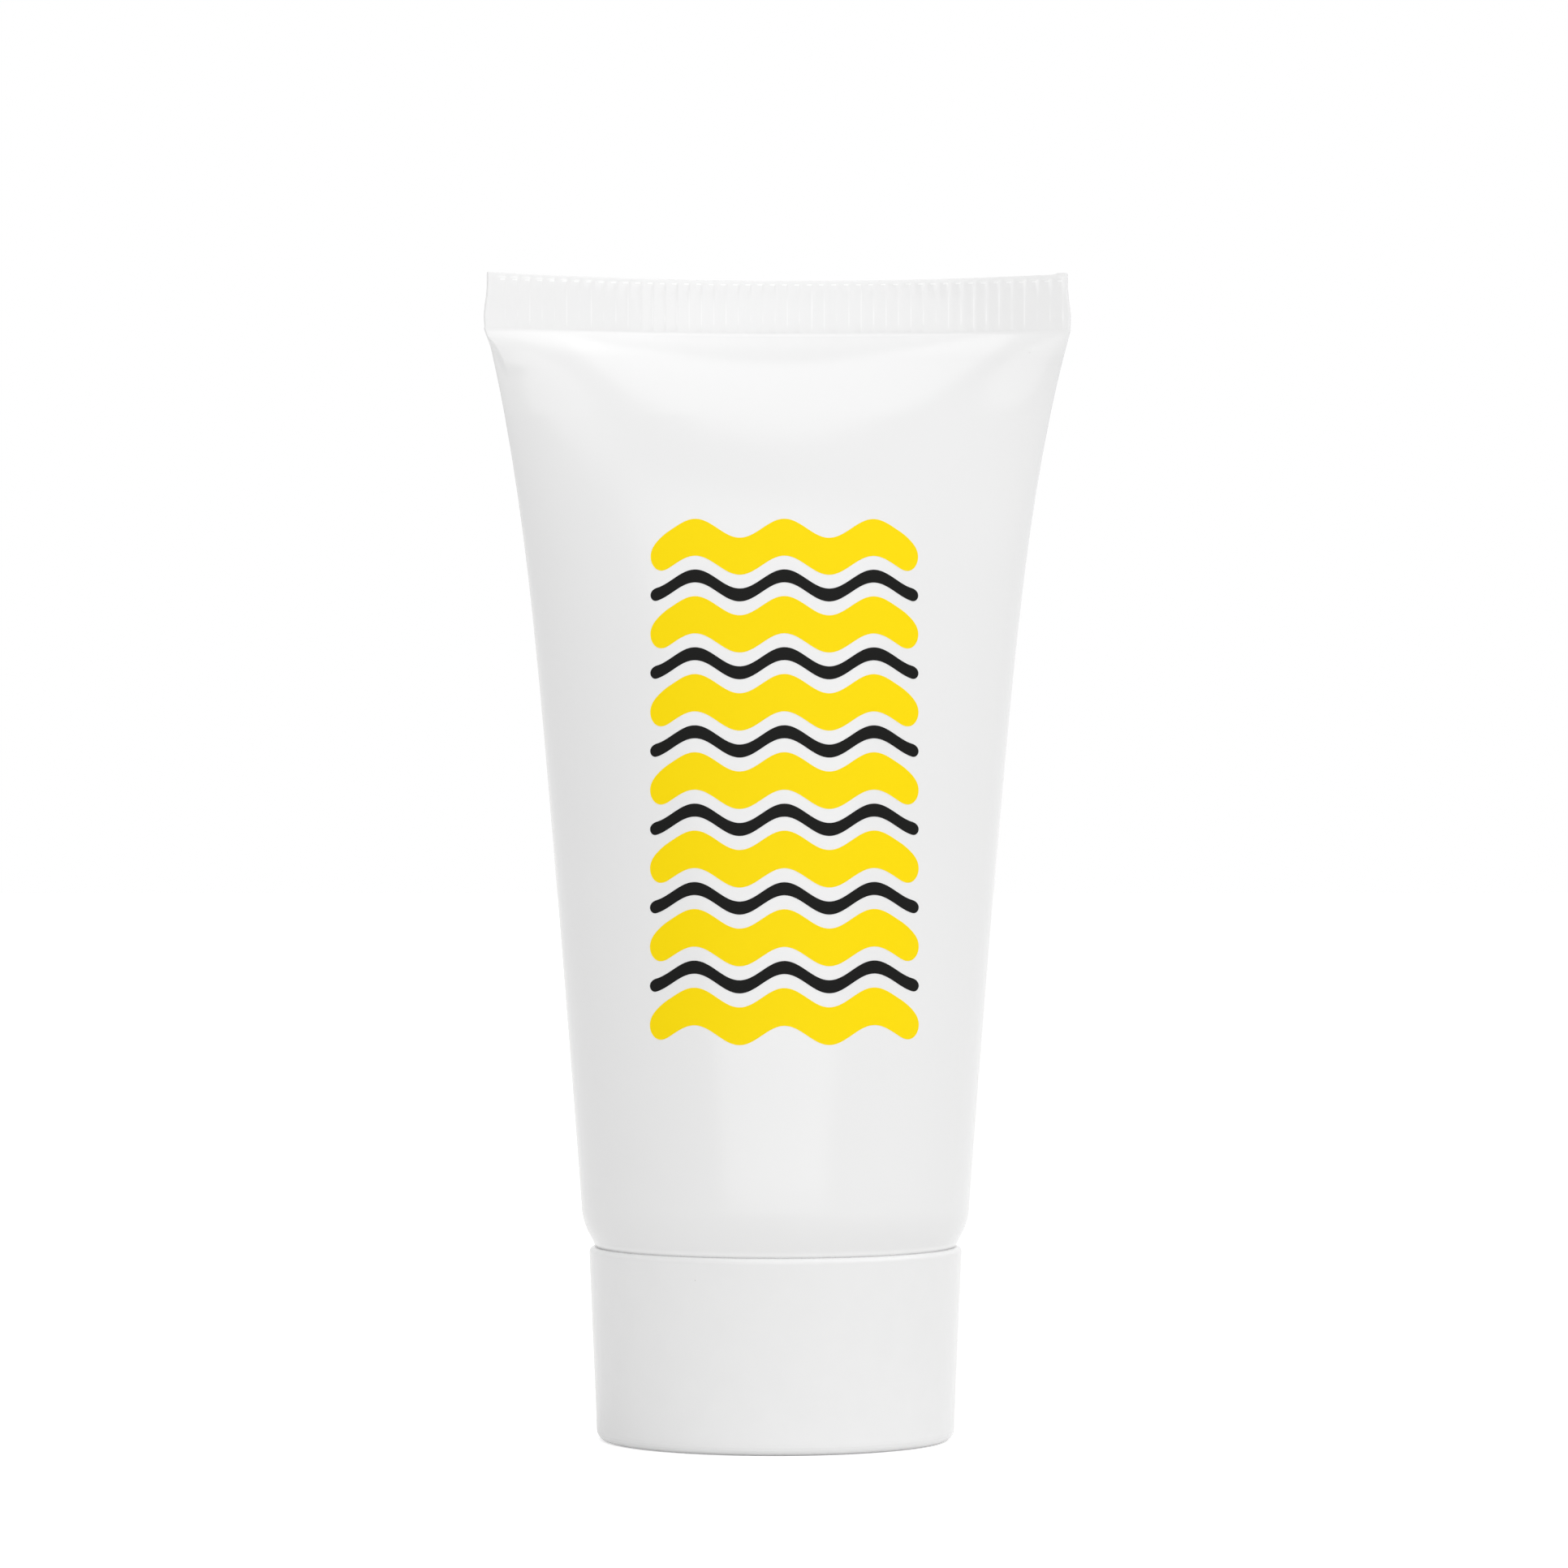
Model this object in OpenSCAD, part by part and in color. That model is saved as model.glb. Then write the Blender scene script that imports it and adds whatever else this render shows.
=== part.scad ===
// Squeeze tube of sun lotion that stands on its screw cap.
// Millimetres, +Z up. The origin is the middle of the cap's flat end, which the tube
// stands on. The front of the tube faces -Y and the crimped seal runs along X.

/* [Sleeve] */
// Outer diameter of the sleeve where it is round
tube_d = 35; // [28:0.5:42]
// Wall of the sleeve
sleeve_wall = 0.5; // [0.4:0.05:0.7]
// Height of the sleeve from its lower edge to the crimp
sleeve_h = 82; // [60:1:110]
// Radius of the bend at the foot of the sleeve
foot_r = 6.2; // [5:0.1:7.5]
// Angle through which the foot bends before it meets the shoulder
foot_turn = 38; // [30:1:44]

/* [Crimp] */
// Height of the crimped seal
crimp_h = 4.8; // [4:0.1:8]
// How far the ends of the crimp bow forward of its middle
crimp_bow = 6.5; // [0:0.5:9]
// Turn of the crimp about the axis of the tube, in degrees
crimp_turn = 3; // [0:0.5:6]
// Rise of the crimp's corners above the middle of its top edge
crimp_rise = 0.25; // [0:0.05:0.6]

/* [Shoulder and neck] */
// Wall of the shoulder, the neck and the nozzle plate
head_wall = 1.3; // [1:0.1:1.6]
// Fall of the shoulder from the sleeve's edge to the neck, in degrees
shoulder_fall = 18; // [10:1:24]
// Diameter of the neck under its thread
neck_d = 13.2; // [11:0.2:16]
// Diameter of the hole that the lotion leaves by
orifice_d = 5; // [3:0.5:7]

/* [Thread] */
// Rise of the thread in one turn
thread_pitch = 2.5; // [2:0.1:3]
// Height of the thread above the neck
thread_h = 0.8; // [0.6:0.1:1]
// Room between the thread's crests and the wall that they face
crest_gap = 0.3; // [0.2:0.05:0.4]
// Room between the flanks of the two threads
flank_gap = 0.35; // [0.2:0.05:0.4]

/* [Cap] */
// Height of the cap
cap_h = 17.4; // [14.5:0.1:24]
// How far the cap's rim lies inside the side of the tube
cap_inset = 0.72; // [0.2:0.02:1.2]
// How much smaller the radius of the cap is at its flat end than at its rim
cap_taper = 0.68; // [0:0.02:0.8]
// Wall of the cap's skirt
cap_wall = 1.2; // [1:0.1:1.6]
// Thickness of the cap's flat end
cap_end = 1.4; // [1.2:0.1:2]
// Radius of the edge round the cap's flat end
cap_edge = 1; // [0.4:0.1:1.2]
// Wall of the threaded socket inside the cap
socket_wall = 1.3; // [1:0.1:1.8]
// Ribs between the socket and the skirt
rib_count = 6; // [4:1:10]
// Thickness of a rib
rib_t = 0.9; // [0.7:0.1:1.2]

/* [Seals and lotion] */
// Thickness of the foamed liner in the cap
liner_t = 1.1; // [0.8:0.1:1.6]
// Thickness of the foil over the nozzle
foil_t = 0.1; // [0.08:0.01:0.2]
// Height of the lotion as a share of the sleeve's height
fill_share = 0.7; // [0.5:0.01:0.95]

/* [Hidden] */
$fn = 72;

// Gaps between pieces: under the shoulder, at a bonded face, round the liner and at its face
rim_gap = 0.25;
bond = 0.08;
liner_side = 0.3;
liner_face = 0.05;
// Angle of the foot's bend that the shoulder is bonded to
bond_arc = 18;
// The least thickness of the sleeve's cavity where it runs out under the crimp
cavity_end = 0.8;
// Shares of the sleeve's widening that come steadily from the foot and only under the crimp
steady_share = 0.663;
late_share = 0.247;
// How square the ends of the crimp are, from 1, an ellipse, down to 0, a rectangle
crimp_square = 0.4;
// Rounding of the cap's rim, and the fillet between neck and shoulder
rim_round = 0.5;
neck_fillet = 0.6;
// How deep a thread or a rib is rooted in the wall that carries it
root = 0.4;
// Slope of a thread's flank, the angle over which its ends run out, and the share of its
// height, within the wall, that it starts with
flank = 0.5;
run_out = 50;
sunk = 0.2;
// Lengths of the neck that stay plain below and above its thread, and the turns of that
// thread that lie below the socket's own
plain_tip = 1.6;
plain_top = 2.9;
lead_turns = 1.5;
// Room between the socket's mouth and the shoulder, and how far below that mouth the socket's
// thread and the ribs end
socket_gap = 0.3;
thread_inset = 1.45;
rib_drop = 3;
// Sides of the round forms that are made of facets, and steps along each of their stretches
sides = 48;
foot_steps = 4;
body_steps = 15;
crimp_steps = 3;
turn_steps = 48;
edge_steps = 6;

// Radii and heights that the sizes above give
tube_r = tube_d / 2;
neck_r = neck_d / 2;
bore_r = neck_r - head_wall;
orifice_r = orifice_d / 2;
foot_z = cap_h + rim_gap;
round_z = foot_z + foot_r * sin(foot_turn);
crimp_z = foot_z + sleeve_h;
tip_z = cap_end + liner_t + liner_face + foil_t;
inner_foot_r = foot_r - sleeve_wall - bond;
shoulder_turn = asin((round_z - foot_z) / inner_foot_r);
bond_turn = shoulder_turn - bond_arc;
shoulder_r = tube_r - foot_r + inner_foot_r * cos(shoulder_turn);
neck_top = foot_z - (shoulder_r - neck_r) * tan(shoulder_fall);
rim_r = tube_r - cap_inset;
end_r = rim_r - cap_taper;
socket_r = neck_r + thread_h + crest_gap;
socket_top = neck_top - socket_gap;

// The sleeve keeps its girth all the way up, so its depth follows from its width.
flat_half = PI / 2 * (tube_r - sleeve_wall / 2) + sleeve_wall / 2;
crimp_half = (flat_half + sqrt(pow(flat_half, 2) - 8 / 3 * pow(crimp_bow, 2))) / 2;

// s runs from 0 where the sleeve stops being round to 1 at the crimp
function widened(s) =
    steady_share * s + (1 - steady_share - late_share) * pow(s, 2) + late_share * pow(s, 6);
function width_at(s) = tube_r + (crimp_half - tube_r) * widened(s);
function bow_at(s) = crimp_bow * pow(s, 5);
function laid_flat(s) = width_at(s) + 2 / 3 * pow(bow_at(s), 2) / width_at(s);

// Depth of an ellipse of half width x that has the girth of the round tube
function girth_depth(x) =
    let (k = 12 * tube_r + 4 * x)
    (k + sqrt(pow(k, 2) - 96 * (pow(tube_r, 2) + pow(x, 2)))) / 12 - x;
function depth_at(s) =
    girth_depth(laid_flat(s)) - (girth_depth(laid_flat(1)) - sleeve_wall) * pow(s, 8);

// A closed ring of points: half width a, half depth b, ends bowed forward, turned about Z
function ring(a, b, z, bow = 0, turn = 0, square = 1, rise = 0) = [
    for (i = [0 : sides - 1])
        let (
            c = cos(360 * i / sides),
            d = sin(360 * i / sides),
            x = a * c,
            y = b * sign(d) * pow(abs(d), square) + bow * (1 / 3 - c * c)
        )
        [x * cos(turn) - y * sin(turn), x * sin(turn) + y * cos(turn), z + rise * c * c]
];

// A ring of the sleeve at s, drawn in by inset from its outer face
function sleeve_ring(s, inset = 0) = ring(
    width_at(s) - inset, depth_at(s) - inset, round_z + s * (crimp_z - round_z),
    bow_at(s), crimp_turn * pow(s, 2)
);
function foot_ring(angle, inset = 0) =
    let (r = tube_r - foot_r + (foot_r - inset) * cos(angle))
    ring(r, r, round_z - (foot_r - inset) * sin(angle));
function foot_rings(inset) =
    let (start = asin((round_z - foot_z) / (foot_r - inset)))
    [for (i = [0 : foot_steps]) foot_ring(start * (1 - i / foot_steps), inset)];

// Steps up the sleeve, closer together towards the crimp
rise_steps = [for (i = [1 : body_steps]) sin(90 * i / body_steps)];
hollow_steps = [for (s = rise_steps) if (depth_at(s) - sleeve_wall > cavity_end / 2) s];
fill_s = (foot_z + fill_share * sleeve_h - round_z) / (crimp_z - round_z);
fill_steps = [for (s = hollow_steps) if (s < fill_s) s, fill_s];

function reversed(list) = [for (i = [len(list) - 1 : -1 : 0]) list[i]];
function joined(lists) = [for (one = lists) each one];

// Triangles between ring k and the next one, each ring with n points
function band(k, n) = [
    for (i = [0 : n - 1])
        let (a = k * n + i, b = k * n + (i + 1) % n)
        each [[a, a + n, b + n], [a, b + n, b]]
];
// Triangles across a ring of n points that starts at point k, facing up
function lid(k, n) = [
    for (i = [0 : n / 2 - 1])
        each [
            if (i > 0) [k + i, k + n - i, k + n - i - 1],
            if (i < n / 2 - 1) [k + i, k + n - i - 1, k + i + 1]
        ]
];
function flipped(faces) = [for (f = faces) [f[0], f[2], f[1]]];

// A solid skinned over rings of equal count, closed at its first and last ring
module skin(rings) {
    n = len(rings[0]);
    last = len(rings) - 1;
    bands = joined([for (k = [0 : last - 1]) band(k, n)]);
    polyhedron(joined(rings), concat(bands, flipped(lid(0, n)), lid(last * n, n)), convexity = 6);
}

// A helical ridge on a round wall, from radius foot, inside the wall, to radius crest.
// Its ends sink into the wall.
module ridge(z, turns, foot, crest) {
    steps = ceil(turns * turn_steps);
    reach = crest - foot;
    skin([
        for (i = [0 : steps])
            let (
                angle = 360 * turns * i / steps,
                grown = min(1, sunk + min(angle, 360 * turns - angle) / run_out),
                top = foot + reach * grown,
                top_half = root_half + (crest_half - root_half) * grown,
                low = [min(foot, top), foot < top ? root_half : top_half],
                high = [max(foot, top), foot < top ? top_half : root_half],
                mid = z + thread_pitch * angle / 360
            )
            [
                for (p = [[low, -1], [low, 1], [high, 1], [high, -1]])
                    [p[0][0] * cos(angle), p[0][0] * sin(angle), mid + p[1] * p[0][1]]
            ]
    ]);
}

// Threads: both crests are equally wide, and the two ridges lie half a pitch apart
male_crest = neck_r + thread_h;
female_crest = neck_r + crest_gap;
crest_half = (thread_pitch / 2 - flank_gap - flank * (male_crest - female_crest)) / 2;
root_half = crest_half + flank * (thread_h + root);
male_z = tip_z + plain_tip;
male_turns = (neck_top - plain_top - male_z) / thread_pitch;
female_z = male_z + lead_turns * thread_pitch;
female_turns = (socket_top - thread_inset - female_z) / thread_pitch;

// Extruded polyethylene sleeve, flattened and welded shut at the crimp
module sleeve() {
    outer = concat(
        foot_rings(0),
        [for (s = rise_steps) sleeve_ring(s)],
        [
            for (i = [1 : crimp_steps])
                let (t = i / crimp_steps)
                ring(
                    crimp_half, sleeve_wall, crimp_z + t * crimp_h,
                    crimp_bow, crimp_turn, crimp_square, t * crimp_rise
                )
        ]
    );
    inner = concat(
        foot_rings(sleeve_wall),
        [for (s = hollow_steps) sleeve_ring(s, sleeve_wall)]
    );
    color("white") skin(concat(reversed(inner), outer));
}

// Moulded shoulder, neck and nozzle plate, bonded inside the foot of the sleeve
module head() {
    rim = [
        for (i = [0 : foot_steps])
            let (angle = shoulder_turn + (bond_turn - shoulder_turn) * i / foot_steps)
            [tube_r - foot_r + inner_foot_r * cos(angle), round_z - inner_foot_r * sin(angle)]
    ];
    color("whitesmoke") union() {
        rotate_extrude() polygon(concat(
            [[orifice_r, tip_z], [neck_r, tip_z], [neck_r, neck_top - neck_fillet]],
            [[neck_r + neck_fillet, neck_top + neck_fillet * tan(shoulder_fall)]],
            rim,
            [[bore_r, neck_top + head_wall], [bore_r, tip_z + head_wall], [orifice_r, tip_z + head_wall]]
        ));
        ridge(male_z, male_turns, neck_r - root, male_crest);
    }
}

// Foil welded over the nozzle, peeled off before first use
module foil_seal() {
    color("silver") translate([0, 0, tip_z - foil_t]) cylinder(r = neck_r, h = foil_t);
}

// Lotion that fills the neck and most of the sleeve
module lotion() {
    gap = sleeve_wall + 2 * bond;
    plate = tip_z + head_wall + bond;
    inner = foot_r - gap;
    cone_r = tube_r - foot_r + inner * cos(bond_turn);
    cone_z = round_z - inner * sin(bond_turn) + bond;
    color("floralwhite") skin(concat(
        [
            for (p = [
                [orifice_r - bond, tip_z + bond],
                [orifice_r - bond, plate],
                [bore_r - bond, plate],
                [bore_r - bond, neck_top + head_wall + bond],
                [cone_r - bond, cone_z + bond]
            ])
                ring(p[0], p[0], p[1])
        ],
        [for (i = [1 : foot_steps]) foot_ring(bond_turn * (1 - i / foot_steps), gap)],
        [for (s = fill_steps) sleeve_ring(s, gap)]
    ));
}

// One moulding: tapered skirt, flat end, threaded socket and ribs
module cap() {
    edge = [
        for (i = [0 : edge_steps])
            let (angle = 90 * i / edge_steps)
            [end_r - cap_edge * (1 - sin(angle)), cap_edge * (1 - cos(angle))]
    ];
    rim = [
        for (i = [0 : edge_steps])
            let (angle = 90 * i / edge_steps)
            [rim_r - rim_round * (1 - cos(angle)), cap_h - rim_round * (1 - sin(angle))]
    ];
    rib_in = socket_r + socket_wall - root;
    rib_z = cap_end - root;
    color("white") {
        rotate_extrude() polygon(concat(
            [[0, 0]], edge, rim,
            [[rim_r - cap_wall, cap_h], [end_r - cap_wall, cap_end], [0, cap_end]]
        ));
        difference() {
            cylinder(r = socket_r + socket_wall, h = socket_top);
            translate([0, 0, cap_end]) cylinder(r = socket_r, h = socket_top);
        }
        for (i = [0 : rib_count - 1])
            rotate([0, 0, 360 * i / rib_count])
                translate([rib_in, -rib_t / 2, rib_z])
                    cube([rim_r - cap_wall - rib_in, rib_t, socket_top - rib_drop - rib_z]);
        ridge(female_z, female_turns, socket_r + root, female_crest);
    }
}

// Foamed disc at the bottom of the socket, which the nozzle presses on
module liner() {
    color("gainsboro") translate([0, 0, cap_end]) cylinder(r = socket_r - liner_side, h = liner_t);
}

sleeve();
head();
foil_seal();
lotion();
cap();
liner();
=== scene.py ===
import math

import bpy
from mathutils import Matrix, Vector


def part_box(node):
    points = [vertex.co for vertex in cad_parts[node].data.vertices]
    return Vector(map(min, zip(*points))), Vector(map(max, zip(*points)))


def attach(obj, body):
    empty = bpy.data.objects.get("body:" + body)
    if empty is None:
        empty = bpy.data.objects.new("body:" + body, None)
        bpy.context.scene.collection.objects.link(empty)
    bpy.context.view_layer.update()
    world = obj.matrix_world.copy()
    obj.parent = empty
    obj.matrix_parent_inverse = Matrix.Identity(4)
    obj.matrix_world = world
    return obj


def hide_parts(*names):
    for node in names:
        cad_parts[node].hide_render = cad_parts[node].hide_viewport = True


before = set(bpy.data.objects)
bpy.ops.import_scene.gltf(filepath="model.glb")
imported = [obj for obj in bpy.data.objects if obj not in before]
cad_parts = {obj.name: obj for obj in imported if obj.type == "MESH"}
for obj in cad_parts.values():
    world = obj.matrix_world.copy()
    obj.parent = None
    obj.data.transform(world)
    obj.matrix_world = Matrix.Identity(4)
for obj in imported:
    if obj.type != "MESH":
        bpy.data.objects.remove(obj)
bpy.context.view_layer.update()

scene = bpy.context.scene

# The cap is one polypropylene moulding: a tapered skirt with a flat end, and inside it a threaded
# socket held by ribs. The tube stands on it. It comes glossy out of a polished mould.


def linear(colour):
    """The linear colour of an sRGB hex value such as #F0F0EE."""
    shares = [int(colour[k:k + 2], 16) / 255 for k in (1, 3, 5)]
    return [s / 12.92 if s <= 0.04045 else ((s + 0.055) / 1.055) ** 2.4 for s in shares] + [1.0]


def add(tree, kind, inputs=(), **settings):
    """A new node with its settings, and its inputs by name or in order.

    An input that is a node or a socket is linked, and a hex value is turned into its colour.
    """
    node = tree.nodes.new(kind)
    for name, value in settings.items():
        setattr(node, name, value)
    for key, value in inputs.items() if isinstance(inputs, dict) else enumerate(inputs):
        if isinstance(value, bpy.types.Node):
            value = next(socket for socket in value.outputs if socket.enabled)
        if isinstance(value, bpy.types.NodeSocket):
            tree.links.new(value, node.inputs[key])
        elif isinstance(value, str) and value.startswith("#"):
            node.inputs[key].default_value = linear(value)
        else:
            node.inputs[key].default_value = value
    return node


def finish_of(name):
    """An empty material, its node tree and the object's own coordinates."""
    material = bpy.data.materials.new(name)
    material.use_nodes = True
    tree = material.node_tree
    tree.nodes.clear()
    place = add(tree, "ShaderNodeTexCoord").outputs["Object"]
    return material, tree, place


def paint(node, material):
    """Gives a CAD node its one material."""
    node.data.materials.clear()
    node.data.materials.append(material)


mm = 0.001
rim_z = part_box("cap")[1].z / mm
# How far down from its top the cap's rim is painted lighter, as painted light
rim_painted_light_reach = 0.45


def specks_in(tree, place, cell, radius, share):
    """Small round specks, as of burnt resin. The share is that of the cells that have one."""
    cells = add(tree, "ShaderNodeTexVoronoi", {"Vector": place, "Scale": 1 / cell})
    near = add(tree, "ShaderNodeMath", [cells.outputs["Distance"], radius / cell], operation="LESS_THAN")
    draw = add(tree, "ShaderNodeSeparateColor", [cells.outputs["Color"]]).outputs["Red"]
    chosen = add(tree, "ShaderNodeMath", [draw, share], operation="LESS_THAN")
    return add(tree, "ShaderNodeMath", [near, chosen], operation="MULTIPLY")


def moulded_pp():
    # White PP from a polished mould: clean and hard-looking, with a clear gloss, the faint mottle
    # of melt that cooled unevenly, and here and there a dark grain.
    material, tree, place = finish_of("Polypropylene, injection moulded, gloss white")
    mottle = add(tree, "ShaderNodeTexNoise", {"Vector": place, "Scale": 1 / (2.4 * mm), "Detail": 2.0})
    fine = add(tree, "ShaderNodeTexNoise", {"Vector": place, "Scale": 1 / (0.3 * mm), "Detail": 1.0})
    height = add(tree, "ShaderNodeMath", [fine, 0.35, mottle], operation="MULTIPLY_ADD")
    relief = add(tree, "ShaderNodeBump", {"Strength": 0.3, "Distance": 0.02 * mm, "Height": height})
    white = add(tree, "ShaderNodeMix", {0: mottle, 6: "#ECECEC", 7: "#EFEFEF"}, data_type="RGBA")
    # Painted light: the rounded rim is made lighter in colour than the rest of the cap, standing in for
    # the light that gets into it from both sides and for its edge highlight
    z = add(tree, "ShaderNodeSeparateXYZ", [place]).outputs["Z"]
    rim = add(tree, "ShaderNodeMapRange", {
        "Value": z, "From Min": (rim_z - rim_painted_light_reach) * mm, "From Max": rim_z * mm})
    painted_rim_light = add(tree, "ShaderNodeMix", {0: rim, 6: white, 7: "#F8F8F8"}, data_type="RGBA")
    grain = specks_in(tree, place, 8 * mm, 0.06 * mm, 0.3)
    colour = add(tree, "ShaderNodeMix", {0: grain, 6: painted_rim_light, 7: "#C6C5C2"}, data_type="RGBA")
    shader = add(tree, "ShaderNodeBsdfPrincipled", {
        "Base Color": colour,
        "Roughness": 0.18,
        "IOR": 1.49,
        "Normal": relief,
    })
    add(tree, "ShaderNodeOutputMaterial", {"Surface": shader})
    return material


paint(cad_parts["cap"], moulded_pp())

# The liner is a disc punched from foamed polyethylene sheet. It is pressed into the bottom of the
# socket, and the nozzle seals against it.


def foamed_pe():
    # Closed-cell PE foam with its cast skin: matt, a little greyer than the cap, finely pitted.
    material, tree, place = finish_of("Polyethylene foam, punched, off-white")
    cells = add(tree, "ShaderNodeTexVoronoi", {"Vector": place, "Scale": 1 / (0.35 * mm)})
    relief = add(tree, "ShaderNodeBump", {"Strength": 0.5, "Distance": 0.06 * mm, "Height": cells})
    shader = add(tree, "ShaderNodeBsdfPrincipled", {
        "Base Color": add(tree, "ShaderNodeMix", {0: cells, 6: "#D9D9D6", 7: "#E6E6E3"}, data_type="RGBA"),
        "Roughness": 0.75,
        "IOR": 1.5,
        "Normal": relief,
    })
    add(tree, "ShaderNodeOutputMaterial", {"Surface": shader})
    return material


paint(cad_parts["liner"], foamed_pe())

# The head is the tube's shoulder, threaded neck and nozzle plate in one, injection moulded from
# HDPE. The sleeve is bonded over its shoulder. Only an unscrewed cap lets it be seen.


def moulded_hdpe():
    # HDPE from a spark-eroded mould: milky and waxy, with a soft sheen and a fine dull grain.
    material, tree, place = finish_of("HDPE, injection moulded, natural white")
    grain = add(tree, "ShaderNodeTexNoise", {"Vector": place, "Scale": 1 / (0.35 * mm), "Detail": 2.0})
    relief = add(tree, "ShaderNodeBump", {"Strength": 0.25, "Distance": 0.02 * mm, "Height": grain})
    cloud = add(tree, "ShaderNodeTexNoise", {"Vector": place, "Scale": 1 / (6 * mm), "Detail": 1.0})
    shader = add(tree, "ShaderNodeBsdfPrincipled", {
        "Base Color": add(tree, "ShaderNodeMix", {0: cloud, 6: "#E6E6E2", 7: "#ECECE9"}, data_type="RGBA"),
        "Roughness": 0.42,
        "IOR": 1.54,
        "Subsurface Weight": 0.15,
        "Subsurface Scale": 1.2 * mm,
        "Normal": relief,
    })
    add(tree, "ShaderNodeOutputMaterial", {"Surface": shader})
    return material


paint(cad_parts["head"], moulded_hdpe())

# The foil seal is a disc of aluminium foil with a sealing lacquer, welded by induction over the
# nozzle plate. It has the faint criss-cross that the welding pad presses into it.

waffle_pitch = 0.9


def wave_scale(pitch):
    """The scale of a wave texture with this pitch in mm. At scale 1 it runs 20 radians a metre."""
    return math.tau / 20 / (pitch * mm)


def welded_foil():
    # Soft aluminium foil under a clear lacquer: bright grey, wrinkled, with a pressed waffle.
    material, tree, place = finish_of("Aluminium foil, lacquered, induction welded")
    slanted = add(tree, "ShaderNodeMapping", {"Vector": place, "Rotation": (0, 0, math.pi / 4)})
    ribs = {"Vector": slanted, "Scale": wave_scale(waffle_pitch), "Distortion": 0.4}
    one_way, other_way = (
        add(tree, "ShaderNodeTexWave", ribs, bands_direction=way).outputs["Fac"] for way in "XY")
    waffle = add(tree, "ShaderNodeMath", [one_way, other_way], operation="ADD")
    crumple = add(tree, "ShaderNodeTexNoise", {"Vector": place, "Scale": 1 / (1.8 * mm), "Detail": 5.0})
    height = add(tree, "ShaderNodeMath", [crumple, 1.6, waffle], operation="MULTIPLY_ADD")
    relief = add(tree, "ShaderNodeBump", {"Strength": 0.6, "Distance": 0.05 * mm, "Height": height})
    shader = add(tree, "ShaderNodeBsdfPrincipled", {
        "Base Color": "#DCDEE0",
        "Metallic": 1.0,
        "Roughness": 0.3,
        "Normal": relief,
    })
    add(tree, "ShaderNodeOutputMaterial", {"Surface": shader})
    return material


paint(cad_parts["foil_seal"], welded_foil())

# The sleeve is cut from an extruded LDPE tube with a 0.5 mm wall and printed while it is still
# round. Its foot is drawn round the shoulder. After filling, hot jaws press the other end flat
# and weld it into the ridged crimp, so its girth stays the same all the way up.

foot_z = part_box("sleeve")[0].z / mm
tube_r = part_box("sleeve")[1].y / mm
wall = 0.5
# The foot bends in round the shoulder up to the cap's rim, where its edge flares out again
foot_r = 6.2
shoulder_turn = math.radians(38)
round_z = foot_z + foot_r * math.sin(shoulder_turn)
foot_turn = math.asin((round_z - rim_z) / foot_r)
foot_flare = 0.27
body_h = 82
crimp_z = foot_z + body_h
crimp_h = 4.8
crimp_bow = 6.5
crimp_turn = math.radians(3)
crimp_rise = 0.25
# The body widens partly at a steady rate and partly just under the crimp
steady_share = 0.663
late_share = 0.247
# How far up the body, from 0 to 1, its sides start to fold and its two films to lie flat
fold_from = 0.7
plate_from = 0.9
# The jaws spread the film a little, most at a fifth of the crimp's height
spread_most = 0.03
spread_loss_above = 0.29
spread_loss_below = 0.07
widest_at = 0.2
narrow_from = 0.75

# Half the width of the crimp, laid flat and then with its ends bowed forward
flat_half = math.pi / 2 * (tube_r - wall / 2) + wall / 2
crimp_half = (flat_half + math.sqrt(flat_half ** 2 - 8 / 3 * crimp_bow ** 2)) / 2


def unbowed(half_width, bow):
    """Half width, laid flat, of a sheet whose ends bow forward."""
    return half_width + 2 / 3 * bow ** 2 / half_width


def girth_depth(half_width):
    """Half depth of an ellipse that has the girth of the round tube, by the usual close formula."""
    k = 12 * tube_r + 4 * half_width
    return (k + math.sqrt(k * k - 96 * (tube_r ** 2 + half_width ** 2))) / 12 - half_width


def width_at(s):
    """Half width of the sleeve at s, from 0 where it stops being round to 1 at the crimp."""
    widened = steady_share * s + (1 - steady_share - late_share) * s ** 2 + late_share * s ** 6
    return tube_r + (crimp_half - tube_r) * widened


def bow_at(s):
    """How far the sides of the sleeve have bowed forward at s."""
    return crimp_bow * s ** 5


def turn_at(s):
    """How far the sleeve has turned about its axis at s."""
    return crimp_turn * s ** 2


def depth_at(s):
    """Half depth of the sleeve at s, down to one wall at the crimp."""
    crimped = girth_depth(unbowed(crimp_half, crimp_bow))
    return girth_depth(unbowed(width_at(s), bow_at(s))) - (crimped - wall) * s ** 8


def eased(value, low, high):
    """0 below low, 1 above high, and a smooth rise between them."""
    t = min(1, max(0, (value - low) / (high - low)))
    return t * t * (3 - 2 * t)


# The rings' points go from crowded at the sides, as a round ring needs, to evenly spread
even_from = 0.3
even_by = 0.95


def ring(z, half_width, half_depth, plate=0.0, crown=0.5, bend=(0.0, 0.0, 0.0), even=0.0):
    """Sizes of one ring of the skin. Its half depth is a flat plate and a bulge on that.

    The bulge is an ellipse at a crown of 0.5 and more pointed above it. The bend is how far the
    ends bow forward, the turn about Z and the rise of the ends. At an even of 1 the points are
    spread evenly over the width, as a flat ring needs.
    """
    return (half_width, half_depth - plate, plate), bend, (even, crown, z)


def body_ring(s, inset=0.0):
    """A ring of the body at s, this far inside its outer face."""
    # Towards the crimp the wall folds sharply at its two sides, round a plate of two films
    plate = max(0, wall - inset) * eased(s, plate_from, 1)
    return ring(
        round_z + s * (crimp_z - round_z), width_at(s) - inset, depth_at(s) - inset,
        plate=plate, crown=0.5 + 0.25 * eased(s, fold_from, 1),
        bend=(bow_at(s), turn_at(s), 0.0), even=eased(s, even_from, even_by),
    )


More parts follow.
